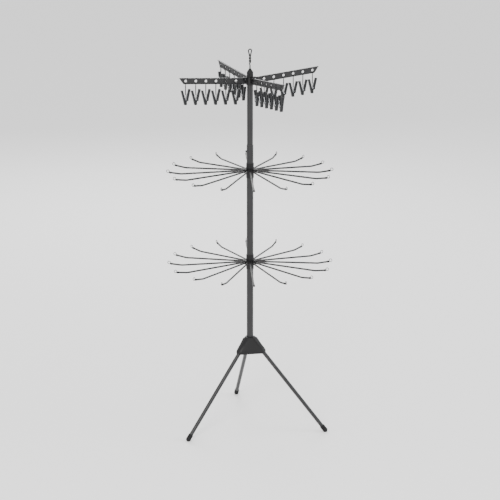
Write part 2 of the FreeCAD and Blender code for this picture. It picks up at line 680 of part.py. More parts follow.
# ---------------------------------------------------------------- top cap and hook
straightTop = "(%s + capStraight)" % CORE_TOP
cavityTop = "(%s + capCavity)" % CORE_TOP
cavityRadius = "(%s + 2 * movingGap)" % HEAD_RADIUS
shaftHole = "(%s + runningGap)" % SHAFT_RADIUS
neckRadius = "(%s + capNeckWall)" % SHAFT_RADIUS
node(turned("cap", [
    (UPPER_BORE, CORE_TOP + " - capPlug"), (UPPER_BORE, CORE_TOP), (CAP_RADIUS, CORE_TOP),
    (CAP_RADIUS, straightTop), (neckRadius, SHOULDER_TOP), (neckRadius, SHOULDER_TOP + " + capNeck"),
    (shaftHole, SHOULDER_TOP + " + capNeck"), (shaftHole, cavityTop), (cavityRadius, cavityTop),
    (cavityRadius, CORE_TOP + " - capPlug"),
]), "top_cap")

headBottom = "(%s - movingGap - hookHead)" % cavityTop
loopBottom = "(%s + hookRise - loopHeight)" % SHOULDER_TOP

# the loop above its crossing: two straight sides and a round that meets them
loopRadius = "((loopWidth - hookWire) / 2)"
loopCentre = "(loopHeight - loopWidth / 2)"
lean = "asin(%s / %s)" % (loopRadius, loopCentre)
sideLength = "%s * cos(%s)" % (loopCentre, lean)
wireSize = "hookWire / 2"
loopRound = torus("hook_round", loopRadius, wireSize,
                  place("0", "0", "%s + %s" % (loopBottom, loopCentre), ("1; 0; 0", "90"))
                  + " * " + about("-" + lean))
bind(loopRound, Angle3="180 deg + 2 * " + lean)
node(fuse("hook_solid",
          cylinder("hook_head", HEAD_RADIUS, "hookHead", place(z=headBottom)),
          cylinder("hook_shaft", SHAFT_RADIUS, "%s - %s" % (loopBottom, headBottom), place(z=headBottom)),
          cylinder("hook_twist", "twistDiameter / 2", "twistLength", place(z=loopBottom + " - twistLength")),
          primitive("Sphere", "hook_bump", place(z=loopBottom), Radius="hookBump"),
          cylinder("hook_side_left", wireSize, sideLength,
                   place(z=loopBottom, turn=("0; 1; 0", "-" + lean))),
          cylinder("hook_side_right", wireSize, sideLength,
                   place(z=loopBottom, turn=("0; 1; 0", lean))),
          loopRound),
     "hanging_hook")

# ---------------------------------------------------------------- check and write
doc.recompute()
for thing in doc.Objects:
    if "Invalid" in thing.State or "Error" in thing.State:
        raise RuntimeError("%s did not build: %s" % (thing.Name, thing.State))
names = [part.Label for part in subParts]
if len(set(names)) != len(names) or len(names) > 60:
    raise RuntimeError("sub-part names repeat or are too many: %d" % len(names))
for part in subParts:
    if part.Shape.isNull() or not part.Shape.isValid() or not part.Shape.Solids:
        raise RuntimeError("%s has no sound shape" % part.Label)

os.makedirs("parts", exist_ok=True)
for part in subParts:
    part.Shape.exportStep("parts/%s.step" % part.Label)
print("wrote %d sub-parts" % len(subParts))
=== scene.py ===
import json
import math

import bmesh
import bpy
from mathutils import Matrix, Vector


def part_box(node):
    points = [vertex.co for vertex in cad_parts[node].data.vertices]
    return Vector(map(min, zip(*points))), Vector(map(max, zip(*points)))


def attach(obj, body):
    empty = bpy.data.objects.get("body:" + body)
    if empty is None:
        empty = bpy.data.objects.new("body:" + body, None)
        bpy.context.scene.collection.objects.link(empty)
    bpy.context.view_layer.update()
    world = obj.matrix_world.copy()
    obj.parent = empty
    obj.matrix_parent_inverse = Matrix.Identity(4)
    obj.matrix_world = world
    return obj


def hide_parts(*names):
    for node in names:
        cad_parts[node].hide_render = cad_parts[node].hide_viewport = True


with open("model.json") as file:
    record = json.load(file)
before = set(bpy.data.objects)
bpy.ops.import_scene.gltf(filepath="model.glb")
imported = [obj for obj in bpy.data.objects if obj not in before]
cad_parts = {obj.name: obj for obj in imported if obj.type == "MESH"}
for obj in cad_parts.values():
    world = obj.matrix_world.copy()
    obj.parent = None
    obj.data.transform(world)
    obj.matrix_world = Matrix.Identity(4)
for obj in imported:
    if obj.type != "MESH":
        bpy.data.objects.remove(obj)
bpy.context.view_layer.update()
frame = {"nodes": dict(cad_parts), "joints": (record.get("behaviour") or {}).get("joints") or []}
mm = 0.001
joints = {joint["name"]: joint for joint in frame["joints"]}
scene = bpy.context.scene
print("stage: frame loaded,", len(frame["nodes"]), "nodes")


cameraSet = {
    "azimuth": 25.4,        # degrees round the pole, towards -X
    "distance": 6.97,       # metres from the pole's axis
    "height": 2.779,
    "pitch": 16.156,        # degrees below the horizon
    "lens": 126.44,
}


def placeCamera():
    turn = math.radians(cameraSet["azimuth"])
    data = bpy.data.cameras.new("camera")
    data.lens = cameraSet["lens"]
    data.sensor_width = 36
    camera = bpy.data.objects.new("camera", data)
    scene.collection.objects.link(camera)
    away = cameraSet["distance"]
    camera.location = (-away * math.sin(turn), -away * math.cos(turn), cameraSet["height"])
    camera.rotation_euler = (math.radians(90 - cameraSet["pitch"]), 0, -turn)
    scene.camera = camera


def addLight(name, place, aim, size, power, colour):
    data = bpy.data.lights.new(name, "AREA")
    data.shape = "DISK"
    data.size = size
    data.energy = power
    data.color = colour
    lamp = bpy.data.objects.new(name, data)
    lamp.location = place
    lamp.rotation_euler = (Vector(aim) - Vector(place)).to_track_quat("-Z", "Y").to_euler()
    scene.collection.objects.link(lamp)


studio = {
    "floorSize": 60,
    "floorColour": "#fbfbfb",
    "worldStrength": 1.35,
}


def hexColour(text):
    channels = [int(text[i:i + 2], 16) / 255 for i in (1, 3, 5)]
    linear = [c / 12.92 if c <= 0.04045 else ((c + 0.055) / 1.055) ** 2.4 for c in channels]
    return (*linear, 1)


def addNode(tree, kind, inputs=None, **settings):
    node = tree.nodes.new(kind)
    for name, value in settings.items():
        setattr(node, name, value)
    for name, value in (inputs or {}).items():
        if isinstance(value, bpy.types.NodeSocket):
            tree.links.new(value, node.inputs[name])
        else:
            node.inputs[name].default_value = value
    return node


def noise(tree, place, sizeMm, detail=3, roughness=0.5):
    # a noise whose grains are about sizeMm across
    return addNode(tree, "ShaderNodeTexNoise", {
        "Vector": place, "Scale": 1 / (sizeMm * mm), "Detail": detail, "Roughness": roughness,
    }).outputs["Fac"]


def remap(tree, value, low, high, toLow, toHigh):
    return addNode(tree, "ShaderNodeMapRange", {
        "Value": value, "From Min": low, "From Max": high, "To Min": toLow, "To Max": toHigh,
    }).outputs["Result"]


def mixed(tree, factor, first, second):
    node = addNode(tree, "ShaderNodeMix", data_type="RGBA")
    tree.links.new(factor, node.inputs[0])
    for index, colour in ((6, first), (7, second)):
        if isinstance(colour, bpy.types.NodeSocket):
            tree.links.new(colour, node.inputs[index])
        else:
            node.inputs[index].default_value = hexColour(colour)
    return node.outputs[2]


surface = {
    "shine": 0.3,           # specular level of every finish
    "driftBand": (0.3, 0.7),    # noise values between which each effect comes in
    "grainBand": (0.52, 0.7),
    "rubBand": (0.6, 0.78),
    "roughBand": (0.3, 0.75),
}


def finish(name, look):
    # every finish: a base colour with broad drift and fine flecks, roughness that
    # wanders a little, rubbed patches, and a grain in the surface
    material = bpy.data.materials.new(name)
    material.use_nodes = True
    tree = material.node_tree
    tree.nodes.clear()
    place = addNode(tree, "ShaderNodeTexCoord").outputs["Object"]
    drift = noise(tree, place, look["driftMm"], detail=2)
    grain = noise(tree, place, look["grainMm"], roughness=0.6)
    rubs = noise(tree, place, look["rubMm"], detail=5, roughness=0.7)
    drifting = remap(tree, drift, *surface["driftBand"], 0, 1)
    flecks = remap(tree, grain, *surface["grainBand"], 0, look["fleck"])
    wear = remap(tree, rubs, *surface["rubBand"], 0, look["rub"])
    base = mixed(tree, drifting, look["dark"], look["light"])
    flecked = mixed(tree, flecks, base, look["fleckColour"])
    rubbed = mixed(tree, wear, flecked, look["rubColour"])
    bump = addNode(tree, "ShaderNodeBump", {
        "Height": grain, "Strength": look["bump"], "Distance": look["bumpMm"] * mm,
    }).outputs["Normal"]
    shader = addNode(tree, "ShaderNodeBsdfPrincipled", {
        "Base Color": rubbed,
        "Roughness": remap(tree, rubs, *surface["roughBand"], *look["rough"]),
        "Metallic": look.get("metallic", 0),
        "Coat Weight": look.get("coat", 0),
        "Coat Roughness": look.get("coatRough", 0.2),
        "Specular IOR Level": surface["shine"],
        "Normal": bump,
    })
    if "ior" in look:
        shader.inputs["IOR"].default_value = look["ior"]
    output = addNode(tree, "ShaderNodeOutputMaterial")
    tree.links.new(shader.outputs["BSDF"], output.inputs["Surface"])
    return material


# polyester powder coat on steel tube: satin, with a fine orange peel of about 1.5 mm
greyPowderCoat = finish("greyPowderCoat", {
    "dark": "#1b1b1d", "light": "#222223", "driftMm": 90, "grainMm": 1.6, "fleck": 0.25,
    "fleckColour": "#2c2c2f", "rubMm": 28, "rub": 0.22, "rubColour": "#363637", "bump": 0.25,
    "bumpMm": 0.12, "rough": (0.34, 0.46), "ior": 1.5, "coat": 0.15, "coatRough": 0.3,
})
# the same coat in a thinner, darker film on the rods
blackPowderCoat = finish("blackPowderCoat", {
    "dark": "#121214", "light": "#1a1a1a", "driftMm": 60, "grainMm": 1.4, "fleck": 0.2,
    "fleckColour": "#252527", "rubMm": 20, "rub": 0.25, "rubColour": "#2b2b2c", "bump": 0.25,
    "bumpMm": 0.1, "rough": (0.36, 0.5), "ior": 1.5, "coat": 0.1, "coatRough": 0.35,
})
# polypropylene moulded in a spark-eroded tool: matt, a soft grain of about 1 mm, drawn coarser than real
blackPolypropylene = finish("blackPolypropylene", {
    "dark": "#0a0a0b", "light": "#0f0f11", "driftMm": 45, "grainMm": 1.0, "fleck": 0.3,
    "fleckColour": "#161618", "rubMm": 16, "rub": 0.2, "rubColour": "#1d1d1e", "bump": 0.45,
    "bumpMm": 0.16, "rough": (0.45, 0.6), "ior": 1.49,
})
# ABS moulded with a light texture: a little paler and slicker than the polypropylene
charcoalAbs = finish("charcoalAbs", {
    "dark": "#1a1a1c", "light": "#212122", "driftMm": 70, "grainMm": 1.1, "fleck": 0.22,
    "fleckColour": "#29292b", "rubMm": 24, "rub": 0.25, "rubColour": "#303032", "bump": 0.3,
    "bumpMm": 0.12, "rough": (0.4, 0.55), "ior": 1.53,
})
# polypropylene clothes pegs with a faint blue-black tone, smoother from a polished tool
pegPolypropylene = finish("pegPolypropylene", {
    "dark": "#0f1112", "light": "#151619", "driftMm": 30, "grainMm": 0.9, "fleck": 0.18,
    "fleckColour": "#1c1e21", "rubMm": 9, "rub": 0.25, "rubColour": "#242729", "bump": 0.25,
    "bumpMm": 0.1, "rough": (0.34, 0.5), "ior": 1.49,
})
# bright zinc plate on spring and pin steel, with a fine grain and darker rubbed spots
zincPlate = finish("zincPlate", {
    "dark": "#8d8f92", "light": "#b0b2b5", "driftMm": 8, "grainMm": 0.6, "fleck": 0.35,
    "fleckColour": "#c9cbce", "rubMm": 5, "rub": 0.3, "rubColour": "#77797d", "bump": 0.2,
    "bumpMm": 0.05, "rough": (0.24, 0.42), "metallic": 1,
})
# wire dipped in black vinyl: smooth and slightly glossy
dippedWire = finish("dippedWire", {
    "dark": "#121213", "light": "#19191a", "driftMm": 12, "grainMm": 1.0, "fleck": 0.15,
    "fleckColour": "#232325", "rubMm": 7, "rub": 0.2, "rubColour": "#29292b", "bump": 0.2,
    "bumpMm": 0.08, "rough": (0.28, 0.42), "ior": 1.52, "coat": 0.2, "coatRough": 0.25,
})
# soft vinyl feet: dull, with dust in the grain
softVinyl = finish("softVinyl", {
    "dark": "#070709", "light": "#0d0d0e", "driftMm": 14, "grainMm": 0.9, "fleck": 0.25,
    "fleckColour": "#171718", "rubMm": 9, "rub": 0.45, "rubColour": "#222223", "bump": 0.4,
    "bumpMm": 0.14, "rough": (0.6, 0.8), "ior": 1.5,
})
print("stage: materials made")


def setStage():
    data = bpy.data.meshes.new("floor")
    half = studio["floorSize"] / 2
    corners = [(-half, -half, 0), (half, -half, 0), (half, half, 0), (-half, half, 0)]
    data.from_pydata(corners, [], [(0, 1, 2, 3)])
    floor = bpy.data.objects.new("floor", data)
    scene.collection.objects.link(floor)
    material = bpy.data.materials.new("paperFloor")
    material.use_nodes = True
    shader = material.node_tree.nodes["Principled BSDF"]
    shader.inputs["Base Color"].default_value = hexColour(studio["floorColour"])
    shader.inputs["Roughness"].default_value = 0.9
    data.materials.append(material)
    world = bpy.data.worlds.new("studio")
    world.use_nodes = True
    world.node_tree.nodes["Background"].inputs["Color"].default_value = (1, 1, 1, 1)
    world.node_tree.nodes["Background"].inputs["Strength"].default_value = studio["worldStrength"]
    scene.world = world
    aim = (0, 0, 0.9)
    addLight("keyLight", (-3.4, -4.2, 3.6), aim, 2.2, 260, (1, 0.98, 0.96))
    addLight("fillLight", (4.4, -2.6, 2.4), aim, 3.0, 120, (0.96, 0.98, 1))
    addLight("backLight", (1.2, 4.2, 3.2), aim, 2.4, 120, (1, 1, 1))


placeCamera()
setStage()
print("stage: camera, floor and lights placed")


def tidyMesh(mesh, angle=35):
    made = bmesh.new()
    made.from_mesh(mesh)
    bmesh.ops.remove_doubles(made, verts=made.verts, dist=0.00001)
    bmesh.ops.recalc_face_normals(made, faces=made.faces)
    made.to_mesh(mesh)
    made.free()
    mesh.shade_smooth()
    mesh.set_sharp_from_angle(angle=math.radians(angle))
    return mesh


def bakeObject(thing):
    # the object's evaluated shape as a plain mesh; the working object goes
    bpy.context.view_layer.update()
    graph = bpy.context.evaluated_depsgraph_get()
    mesh = bpy.data.meshes.new_from_object(thing.evaluated_get(graph), depsgraph=graph)
    data = thing.data
    bpy.data.objects.remove(thing)
    if isinstance(data, bpy.types.Curve):
        bpy.data.curves.remove(data)
    return mesh


def workObject(name, data):
    thing = bpy.data.objects.new(name, data)
    scene.collection.objects.link(thing)
    return thing


def joinMeshes(name, meshes):
    # several meshes as one, keeping each one's material slots
    made = bmesh.new()
    materials = []
    for mesh in meshes:
        start = len(made.faces)
        made.from_mesh(mesh)
        made.faces.ensure_lookup_table()
        own = list(mesh.materials)
        for m in own:
            if m not in materials:
                materials.append(m)
        for face in made.faces[start:]:
            if own:
                face.material_index = materials.index(own[min(face.material_index, len(own) - 1)])
    joined = bpy.data.meshes.new(name)
    made.to_mesh(joined)
    made.free()
    for m in materials:
        joined.materials.append(m)
    return joined


def moved(mesh, matrix):
    copy = mesh.copy()
    copy.transform(matrix)
    return copy


def coloured(mesh, material):
    mesh.materials.clear()
    mesh.materials.append(material)
    return mesh


def plate(name, outlines, thickness, edge, turn=True):
    # flat shape with holes, from closed outlines of (x, z) points, with rounded edges
    curve = bpy.data.curves.new(name, "CURVE")
    curve.dimensions = "2D"
    curve.fill_mode = "BOTH"
    curve.extrude = thickness / 2 - edge
    curve.bevel_depth = edge
    curve.bevel_resolution = 2
    curve.offset = -edge
    for points in outlines:
        spline = curve.splines.new("POLY")
        spline.points.add(len(points) - 1)
        for point, (x, z) in zip(spline.points, points):
            point.co = (x, z, 0, 1)
        spline.use_cyclic_u = True
    mesh = bakeObject(workObject(name, curve))
    if turn:
        mesh.transform(Matrix.Rotation(math.radians(90), 4, "X"))
    return tidyMesh(mesh)


def roundPoints(centre, radius, steps, start=0, sweep=360):
    points = []
    for i in range(steps if sweep == 360 else steps + 1):
        angle = math.radians(start + sweep * i / steps)
        points.append((centre[0] + radius * math.cos(angle), centre[1] + radius * math.sin(angle)))
    return points


def softened(corners, radii, steps=5):
    # a polygon with rounded corners, from one radius or one for each corner
    points = []
    count = len(corners)
    if not isinstance(radii, list):
        radii = [radii] * count
    for i, radius in enumerate(radii):
        before, here, after = (Vector(corners[(i + k) % count]) for k in (-1, 0, 1))
        toBefore, toAfter = (before - here).normalized(), (after - here).normalized()
        angle = toBefore.angle(toAfter)
        reach = min(radius / math.tan(angle / 2), 0.45 * min((before - here).length, (after - here).length))
        bisector = (toBefore + toAfter).normalized()
        actual = reach * math.tan(angle / 2)
        centre = here + bisector * actual / math.sin(angle / 2)
        first, last = here + toBefore * reach - centre, here + toAfter * reach - centre
        for k in range(steps + 1):
            step = first.lerp(last, k / steps).normalized() * actual
            points.append(tuple(centre + step))
    return points


def lathe(name, profile, steps=64, waves=0, depth=0, waveSpan=None, angle=35):
    # profile of (radius, height) turned about Z; waves cut flutes between two heights
    made = bmesh.new()
    rings = []
    for radius, height in profile:
        ring = []
        for i in range(steps):
            turn = 2 * math.pi * i / steps
            reach = radius
            if waves and waveSpan[0] <= height <= waveSpan[1]:
                reach -= depth * (0.5 - 0.5 * math.cos(waves * turn)) ** 2
            ring.append(made.verts.new((reach * math.cos(turn), reach * math.sin(turn), height)))
        rings.append(ring)
    for lower, upper in zip(rings, rings[1:]):
        for i in range(steps):
            j = (i + 1) % steps
            made.faces.new((lower[i], lower[j], upper[j], upper[i]))
    if profile[0] != profile[-1]:
        made.faces.new(list(reversed(rings[0])))
        made.faces.new(rings[-1])
    mesh = bpy.data.meshes.new(name)
    made.to_mesh(mesh)
    made.free()
    return tidyMesh(mesh, angle)


def wire(name, points, radius, closed=False, sides=3):
    # round wire along points; more sides make it rounder
    curve = bpy.data.curves.new(name, "CURVE")
    curve.dimensions = "3D"
    curve.bevel_depth = radius
    curve.bevel_resolution = sides
    curve.use_fill_caps = True
    spline = curve.splines.new("POLY")
    spline.points.add(len(points) - 1)
    for point, place in zip(spline.points, points):
        point.co = (*place, 1)
    spline.use_cyclic_u = closed
    return tidyMesh(bakeObject(workObject(name, curve)), 50)


def showPiece(name, mesh, body, slot, *nodes):
    mesh.name = name
    piece = workObject(name, mesh)
    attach(piece, body)
    if nodes:
        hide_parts(*nodes)
    return piece


def newTree(name, sockets):
    tree = bpy.data.node_groups.new(name, "GeometryNodeTree")
    tree.interface.new_socket("Geometry", in_out="OUTPUT", socket_type="NodeSocketGeometry")
    for label, kind in sockets.items():
        tree.interface.new_socket(label, in_out="INPUT", socket_type="NodeSocket" + kind)
    return tree


def grow(name, tree, values):
    # run a tree on an empty mesh and keep what it makes
    holder = workObject(name, bpy.data.meshes.new(name))
    modifier = holder.modifiers.new("grow", "NODES")
    modifier.node_group = tree
    for item in tree.interface.items_tree:
        if item.in_out == "INPUT" and item.name in values:
            modifier[item.identifier] = values[item.name]
    return bakeObject(holder)


def rowTree():
    # copies of one part in a straight row, each turned the same way
    tree = newTree("partRow", {
        "Part": "Object", "Count": "Int", "First": "Vector", "Step": "Vector", "Turn": "Vector",
        "Material": "Material",
    })
    given = addNode(tree, "NodeGroupInput").outputs
    line = addNode(tree, "GeometryNodeMeshLine", {
        "Count": given["Count"], "Start Location": given["First"], "Offset": given["Step"],
    })
    part = addNode(tree, "GeometryNodeObjectInfo", {"Object": given["Part"]})
    copies = addNode(tree, "GeometryNodeInstanceOnPoints", {
        "Points": line.outputs["Mesh"], "Instance": part.outputs["Geometry"], "Rotation": given["Turn"],
    })
    real = addNode(tree, "GeometryNodeRealizeInstances", {"Geometry": copies.outputs["Instances"]})
    painted = addNode(tree, "GeometryNodeSetMaterial", {
        "Geometry": real.outputs["Geometry"], "Material": given["Material"],
    })
    result = addNode(tree, "NodeGroupOutput")
    tree.links.new(painted.outputs["Geometry"], result.inputs["Geometry"])
    return tree


partRow = rowTree()


def rowOf(name, mesh, count, first, step, turn, material):
    part = workObject(name + "Part", mesh)
    made = grow(name, partRow, {
        "Part": part, "Count": count, "First": first, "Step": step, "Turn": turn, "Material": material,
    })
    bpy.data.objects.remove(part)
    return made


def outward(joint, lean=0.0):
    # carries a part built along +X from its pivot to the joint's own place
    place = Vector(joint["pos_m"])
    turn = math.atan2(place.y, place.x)
    return Matrix.Translation(place) @ Matrix.Rotation(turn, 4, "Z") @ Matrix.Rotation(-lean, 4, "Y")


rod = {
    "tubeRadius": 3.5,
    "droop": 2.5,           # degrees below level
    "bend": 11.0,           # degrees turned up again towards the tip
    "bendRadius": 80.0,
    "bendStart": 253.0,     # from the hinge
    "tipRun": 45.57,        # straight run after the bend, to the eyelet's centre
    "eyeRadius": 4.0,
    "eyeHole": 1.6,
    "eyeThickness": 3.4,
    "neck": 9.4,
    "collar": 4.0,
    "collarRadius": 4.1,
    "capLength": 12.0,
    "capRadius": 4.2,
    "eyeletRadius": 5.7,
    "eyeletWire": 1.1,
    "eyeletRise": 4.0,
}


def maths(tree, operation, first, second=0.0):
    return addNode(tree, "ShaderNodeMath", {0: first, 1: second}, operation=operation).outputs[0]


def circle(tree, steps, radius):
    return addNode(tree, "GeometryNodeCurvePrimitiveCircle", {
        "Resolution": steps, "Radius": radius,
    }).outputs["Curve"]


def rodTree():
    # a straight line bent into the rod's route, swept as tube, with the moulded ends joined on
    tree = newTree("foldingRod", {
        "Root": "Object", "Tip": "Object", "Tube Start": "Float", "Tube End": "Float", "Tube Radius": "Float",
        "Bend Start": "Float", "Bend Radius": "Float", "Bend Angle": "Float",
        "Eyelet Place": "Vector", "Eyelet Radius": "Float", "Eyelet Wire": "Float",
        "Paint": "Material", "Plastic": "Material",
    })
    given = addNode(tree, "NodeGroupInput").outputs
    start = addNode(tree, "ShaderNodeCombineXYZ", {"X": given["Tube Start"]}).outputs[0]
    end = addNode(tree, "ShaderNodeCombineXYZ", {"X": given["Tube End"]}).outputs[0]
    line = addNode(tree, "GeometryNodeCurvePrimitiveLine", {"Start": start, "End": end})
    fine = addNode(tree, "GeometryNodeResampleCurve", {"Curve": line.outputs["Curve"], "Count": 90})
    place = addNode(tree, "GeometryNodeInputPosition").outputs[0]
    along = addNode(tree, "ShaderNodeSeparateXYZ", {"Vector": place}).outputs["X"]
    bendStart, bendRadius, bendAngle = given["Bend Start"], given["Bend Radius"], given["Bend Angle"]
    past = maths(tree, "MAXIMUM", maths(tree, "SUBTRACT", along, bendStart), 0)
    turn = maths(tree, "MINIMUM", maths(tree, "DIVIDE", past, bendRadius), bendAngle)
    rest = maths(tree, "SUBTRACT", past, maths(tree, "MULTIPLY", turn, bendRadius))
    x = maths(tree, "ADD", maths(tree, "MINIMUM", along, bendStart),
              maths(tree, "MULTIPLY", bendRadius, maths(tree, "SINE", turn)))
    x = maths(tree, "ADD", x, maths(tree, "MULTIPLY", rest, maths(tree, "COSINE", bendAngle)))
    z = maths(tree, "SUBTRACT", bendRadius, maths(tree, "MULTIPLY", bendRadius, maths(tree, "COSINE", turn)))
    z = maths(tree, "ADD", z, maths(tree, "MULTIPLY", rest, maths(tree, "SINE", bendAngle)))
    route = addNode(tree, "ShaderNodeCombineXYZ", {"X": x, "Z": z}).outputs[0]
    bent = addNode(tree, "GeometryNodeSetPosition", {"Geometry": fine.outputs["Curve"], "Position": route})
    tube = addNode(tree, "GeometryNodeCurveToMesh", {
        "Curve": bent.outputs["Geometry"], "Profile Curve": circle(tree, 24, given["Tube Radius"]),
        "Fill Caps": True,
    })
    painted = addNode(tree, "GeometryNodeSetMaterial", {
        "Geometry": tube.outputs["Mesh"], "Material": given["Paint"],
    })
    swept = addNode(tree, "GeometryNodeCurveToMesh", {
        "Curve": circle(tree, 40, given["Eyelet Radius"]),
        "Profile Curve": circle(tree, 12, given["Eyelet Wire"]),
    })
    eyelet = addNode(tree, "GeometryNodeTransform", {
        "Geometry": swept.outputs["Mesh"], "Translation": given["Eyelet Place"],
        "Rotation": (math.pi / 2, 0, 0),
    })
    root = addNode(tree, "GeometryNodeObjectInfo", {"Object": given["Root"]})
    tip = addNode(tree, "GeometryNodeObjectInfo", {"Object": given["Tip"]})
    moulded = addNode(tree, "GeometryNodeJoinGeometry")
    for part in (eyelet, root, tip):
        tree.links.new(part.outputs["Geometry"], moulded.inputs["Geometry"])
    solid = addNode(tree, "GeometryNodeRealizeInstances", {"Geometry": moulded.outputs["Geometry"]})
    plastic = addNode(tree, "GeometryNodeSetMaterial", {
        "Geometry": solid.outputs["Geometry"], "Material": given["Plastic"],
    })
    whole = addNode(tree, "GeometryNodeJoinGeometry")
    tree.links.new(painted.outputs["Geometry"], whole.inputs["Geometry"])
    tree.links.new(plastic.outputs["Geometry"], whole.inputs["Geometry"])
    result = addNode(tree, "NodeGroupOutput")
    tree.links.new(whole.outputs["Geometry"], result.inputs["Geometry"])
    return tree


def alongX(mesh):
    return moved(mesh, Matrix.Rotation(math.radians(90), 4, "Y"))


def scaledPoints(points):
    return [(x * mm, z * mm) for x, z in points]


def makeRods():
    eye, neck = rod["eyeRadius"], rod["neck"]
    shape = roundPoints((0, 0), eye, 18, 90, 180) + [(neck + 0.4, -eye), (neck + 0.4, eye)]
    eyePlate = plate("rodEye", [scaledPoints(shape), scaledPoints(roundPoints((0, 0), rod["eyeHole"], 16))],
                     rod["eyeThickness"] * mm, 0.35 * mm)
    collar, wide = neck + rod["collar"], rod["collarRadius"]
    ferrule = lathe("rodFerrule", [(r * mm, x * mm) for r, x in (
        (wide * 0.82, neck - 0.1), (wide * 0.96, neck + 0.3), (wide, neck + 0.8), (wide, collar - 1.4),
        (wide * 0.96, collar - 0.9), (wide * 0.9, collar - 0.4), (wide * 0.88, collar),
    )], 28)
    root = joinMeshes("rodRoot", [eyePlate, alongX(ferrule)])
    # the tip is built from the end of the bend
    bend, bendRadius, reach = math.radians(rod["bend"]), rod["bendRadius"], rod["tipRun"]
    tipX = rod["bendStart"] + bendRadius * math.sin(bend)
    tipPlace = Vector((tipX, 0, bendRadius - bendRadius * math.cos(bend)))
    tipFrame = Matrix.Translation(tipPlace * mm) @ Matrix.Rotation(-bend, 4, "Y")
    capStart = reach - rod["eyeletRadius"] / 2 - rod["capLength"]
    cap, nose = rod["capRadius"], reach - rod["eyeletRadius"] * 0.72
    sleeve = lathe("rodCap", [(r * mm, x * mm) for r, x in (
        (cap * 0.9, capStart), (cap * 0.98, capStart + 0.3), (cap, capStart + 0.8), (cap, capStart + 2.2),
        (cap * 0.97, capStart + 2.7), (cap * 0.97, nose - 4.4), (cap * 0.9, nose - 3.0),
        (cap * 0.76, nose - 1.5), (cap * 0.5, nose - 0.5), (cap * 0.2, nose),
    )], 28)
    rootPart = workObject("rodRootPart", root)
    tipPart = workObject("rodTipPart", moved(alongX(sleeve), tipFrame))
    tubeEnd = rod["bendStart"] + bendRadius * bend + capStart + 3
    mould = grow("foldingRod", rodTree(), {
        "Root": rootPart, "Tip": tipPart, "Tube Start": (collar - 1.2) * mm, "Tube End": tubeEnd * mm,
        "Tube Radius": rod["tubeRadius"] * mm, "Bend Start": rod["bendStart"] * mm,
        "Bend Radius": bendRadius * mm, "Bend Angle": bend,
        "Eyelet Place": tipFrame @ Vector((reach * mm, 0, rod["eyeletRise"] * mm)),
        "Eyelet Radius": rod["eyeletRadius"] * mm, "Eyelet Wire": rod["eyeletWire"] * mm,
        "Paint": blackPowderCoat, "Plastic": blackPolypropylene,
    })
    tidyMesh(mould, 40)
    for part in (rootPart, tipPart):
        bpy.data.objects.remove(part)
    droop = math.radians(rod["droop"])
    for name, joint in joints.items():
        if "_rod_" in name:
            node = joint["child"]
            showPiece("shown_" + node, moved(mould, outward(joint, -droop)), node, "rod_paint", node)


makeRods()
print("stage: rods made")


arm = {
    "above": 5.5,           # top edge over the pin
    "height": 25.0,
    "thickness": 2.4,
    "rootRadius": 6.2,
    "pinHole": 2.05,
    "tipCut": 20.0,
    "topFlange": (8.0, 2.0),
    "bottomFlange": (5.0, 1.5),
    "flangeStart": 9.5,
    "flangeShort": 0.6,     # short of the web's own end
    "holes": 6,
    "holeRadius": 6.0,
    "rimRadius": 7.7,
    "rimWidth": 4.6,
    "firstHole": 40.0,      # level distance from the pin
    "holePitch": 43.8,
}
armSlope = math.asin(joints["clips_1_swing"]["axis"][2])


def makeArms():
    pivot = Vector(joints["arm_1_fold"]["pos_m"])
    above, low = arm["above"], arm["above"] - arm["height"]
    reach = ((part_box("arm_1")[1].x - pivot.x) / mm + above * math.sin(armSlope)) / math.cos(armSlope)
    root, middle = arm["rootRadius"], above - arm["height"] / 2
    lift = math.degrees(math.asin(above / root))
    tip = softened([(-root, low), (reach - arm["tipCut"], low), (reach, above), (-root, above)],
                   [1.6, 14.0, 1.6, 1.6])
    corner = len(tip) // 4
    outline = tip[corner:3 * corner] + roundPoints((0, 0), root, 10, lift, 180 - lift) + tip[:corner]
    step = arm["holePitch"] / math.cos(armSlope)
    first = arm["firstHole"] / math.cos(armSlope)
    holes = [roundPoints((first + i * step, middle), arm["holeRadius"], 32) for i in range(arm["holes"])]
    pinHole = roundPoints((0, 0), arm["pinHole"], 20)
    outlines = [scaledPoints(points) for points in (outline, *holes, pinHole)]
    web = plate("armWeb", outlines, arm["thickness"] * mm, 0.3 * mm)
    meshes = [coloured(web, charcoalAbs)]
    bottomEnd = reach - arm["tipCut"]
    for (width, deep), end, z in ((arm["topFlange"], reach, above - arm["topFlange"][1] / 2),
                                  (arm["bottomFlange"], bottomEnd, low + arm["bottomFlange"][1] / 2)):
        end -= arm["flangeShort"]
        shape = softened([(arm["flangeStart"], -width / 2), (end, -width / 2), (end, width / 2),
                          (arm["flangeStart"], width / 2)], 1.4)
        flange = plate("armFlange", [scaledPoints(shape)], deep * mm, 0.45 * mm, turn=False)
        meshes.append(coloured(moved(flange, Matrix.Translation((0, 0, z * mm))), charcoalAbs))
    inner, outer, half = arm["holeRadius"], arm["rimRadius"], arm["rimWidth"] / 2
    rim = lathe("armRim", [(r * mm, y * mm) for r, y in (
        (inner, -half + 0.4), (inner + 0.3, -half), (outer - 0.5, -half), (outer, -half + 0.6),
        (outer, half - 0.6), (outer - 0.5, half), (inner + 0.3, half), (inner, half - 0.4),
        (inner, -half + 0.4),
    )], 36)
    meshes.append(rowOf("armRims", rim, arm["holes"], (first * mm, 0, middle * mm), (step * mm, 0, 0),
                        (math.pi / 2, 0, 0), charcoalAbs))
    whole = tidyMesh(joinMeshes("perforatedArm", meshes), 40)
    for i in range(1, 5):
        joint = joints["arm_%d_fold" % i]
        showPiece("perforatedArm_%d" % i, moved(whole, outward(joint, armSlope)), joint["child"],
                  "grey_plastic", "arm_%d" % i)


makeArms()
print("stage: arms made")


